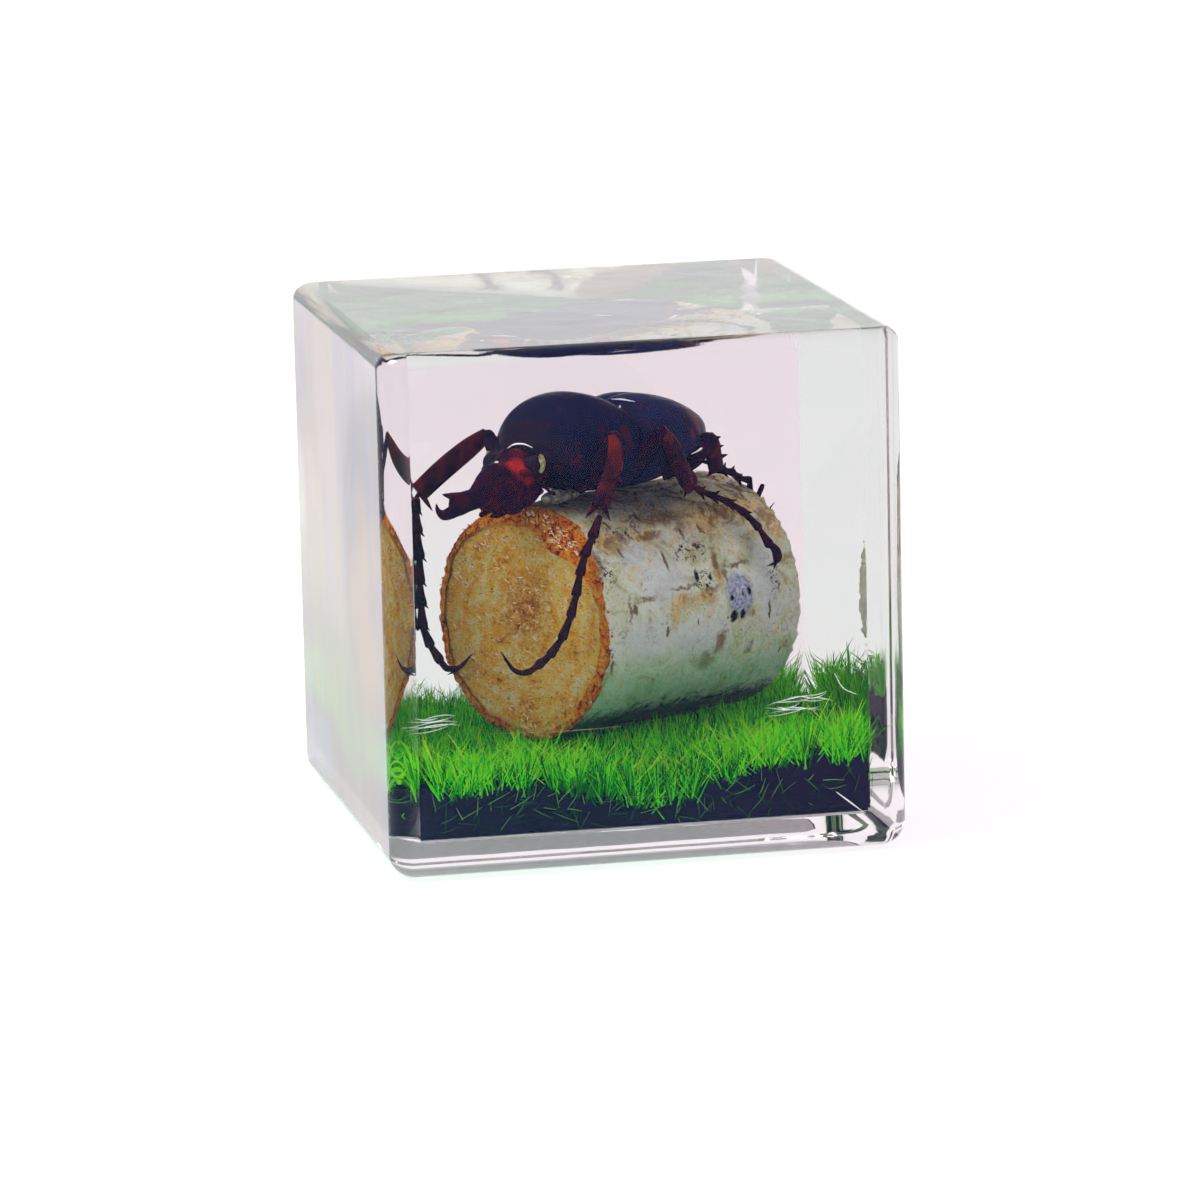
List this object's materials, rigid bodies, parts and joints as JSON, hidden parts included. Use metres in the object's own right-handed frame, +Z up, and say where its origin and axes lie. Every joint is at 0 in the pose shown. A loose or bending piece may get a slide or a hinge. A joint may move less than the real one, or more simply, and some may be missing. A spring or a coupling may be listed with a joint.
{
  "type": "insect in resin block",
  "caption": "Clear cast resin cube with rounded polished edges, holding a horned beetle mounted on a birch log above green turf.",
  "frame": {"origin": "centre of the flat face that the block stands on", "axes": "+Z is up; -Y is the front face, which shows the beetle's left side; +X is the viewer's right"},
  "size_m": [0.075, 0.075, 0.075],
  "materials": {
    "clear_resin": "cast clear resin, ground flat and polished all over",
    "birch_bark": "dry silver birch bark with brown flakes and dark dashes",
    "birch_wood": "sawn end grain, pale gold with a brown heart",
    "turf_backing": "dark navy-black moulded backing of the turf",
    "grass_fibre": "dyed bright green flock blades",
    "beetle_shell": "smooth blackish-brown beetle shell with a red glow where it is thin",
    "beetle_legs": "dark red-brown, slightly see-through shell"
  },
  "bodies": {
    "root": {"resin_block": "clear_resin"}
  },
  "joints": []
}
